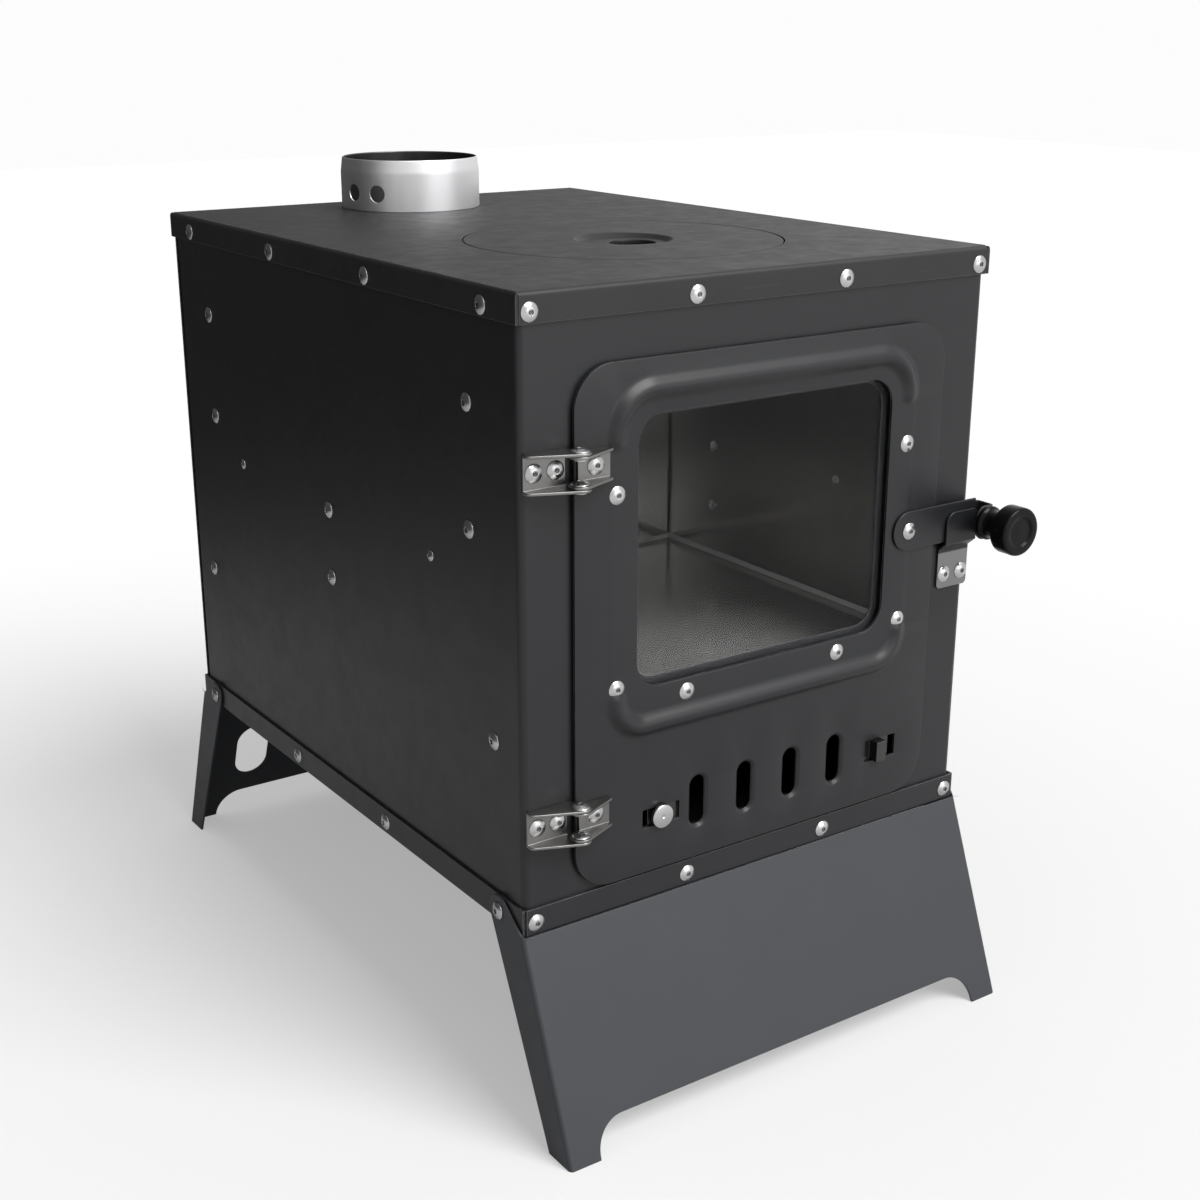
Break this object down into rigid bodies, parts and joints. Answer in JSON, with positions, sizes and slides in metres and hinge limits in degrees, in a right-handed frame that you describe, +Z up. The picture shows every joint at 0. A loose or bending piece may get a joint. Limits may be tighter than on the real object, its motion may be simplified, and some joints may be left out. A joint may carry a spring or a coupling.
{
  "type": "folding stove",
  "caption": "Small portable wood stove of riveted sheet steel with a glazed door, a lift-out hot plate, a flue collar, an air slider and two folding sheet legs.",
  "frame": {"origin": "on the floor, under the middle of the body's footprint", "axes": "+X to the right seen from the front, +Y to the back (the door faces -Y), +Z up"},
  "size_m": [0.3141, 0.494, 0.466],
  "materials": {
    "painted_sheet": "matte heat-resistant paint",
    "stainless": "satin stainless sheet",
    "bare_steel": "bare steel, lightly worn",
    "rivet_steel": "bright domed rivets",
    "rivet_pin": "dull steel pins",
    "knob": "glossy moulded knob",
    "glass": "clear heat-resistant glass",
    "seal": "woven heat-resistant seal"
  },
  "bodies": {
    "stove": {"outer_wrapper": "painted_sheet", "rear_panel": "painted_sheet", "top_cap": "painted_sheet", "base_tray": "painted_sheet", "firebox_floor": "stainless", "left_liner": "stainless", "right_liner": "stainless", "back_liner": "stainless", "liner_spacers": "bare_steel", "back_liner_rivets": "rivet_steel", "flue_collar": "stainless", "plate_seat_ring": "painted_sheet", "cap_rivets": "rivet_steel", "tray_rivets": "rivet_steel", "side_rivets": "rivet_steel", "small_side_rivets": "rivet_steel", "rear_rivets": "rivet_steel", "upper_body_hinge": "bare_steel", "lower_body_hinge": "bare_steel", "hinge_rivets": "rivet_steel", "hinge_pivots": "rivet_pin", "catch_plate": "painted_sheet", "catch_rivets": "rivet_steel", "leg_pivots": "rivet_steel"},
    "door": {"door_panel": "painted_sheet", "window_glass": "glass", "glass_gasket": "seal", "glass_retainer": "painted_sheet", "retainer_spacers": "bare_steel", "door_rivets": "rivet_steel", "door_seal": "seal", "slider_guides": "painted_sheet", "upper_door_hinge": "bare_steel", "lower_door_hinge": "bare_steel", "door_hinge_rivets": "rivet_steel", "latch_pivot": "rivet_steel"},
    "latch": {"latch_arm": "painted_sheet", "latch_knob": "knob", "knob_screw": "rivet_pin"},
    "slider": {"air_slider": "bare_steel", "slider_button": "rivet_steel"},
    "lid": {"hot_plate": "painted_sheet", "finger_cup": "painted_sheet"},
    "front_legs": {"front_leg": "painted_sheet"},
    "rear_legs": {"rear_leg": "painted_sheet"}
  },
  "joints": [
    {"name": "door_hinge", "type": "hinge", "parent": "stove", "child": "door", "pos_m": [-0.121, -0.2115, 0.2605], "axis": [0, 0, -1], "range_deg": [0, 150]},
    {"name": "latch_turn", "type": "hinge", "parent": "door", "child": "latch", "pos_m": [0.0985, -0.2055, 0.2845], "axis": [0, -1, 0], "range_deg": [0, 75]},
    {"name": "air_slide", "type": "slide", "parent": "door", "child": "slider", "axis": [1, 0, 0], "range_m": [-0.0045, 0.0105]},
    {"name": "lid_lift", "type": "slide", "parent": "stove", "child": "lid", "axis": [0, 0, 1], "range_m": [0, 0.06]},
    {"name": "front_leg_fold", "type": "hinge", "parent": "stove", "child": "front_legs", "pos_m": [0, -0.181, 0.1185], "axis": [1, 0, 0], "range_deg": [0, 100]},
    {"name": "rear_leg_fold", "type": "hinge", "parent": "stove", "child": "rear_legs", "pos_m": [0, 0.181, 0.1185], "axis": [-1, 0, 0], "range_deg": [0, 100]}
  ]
}
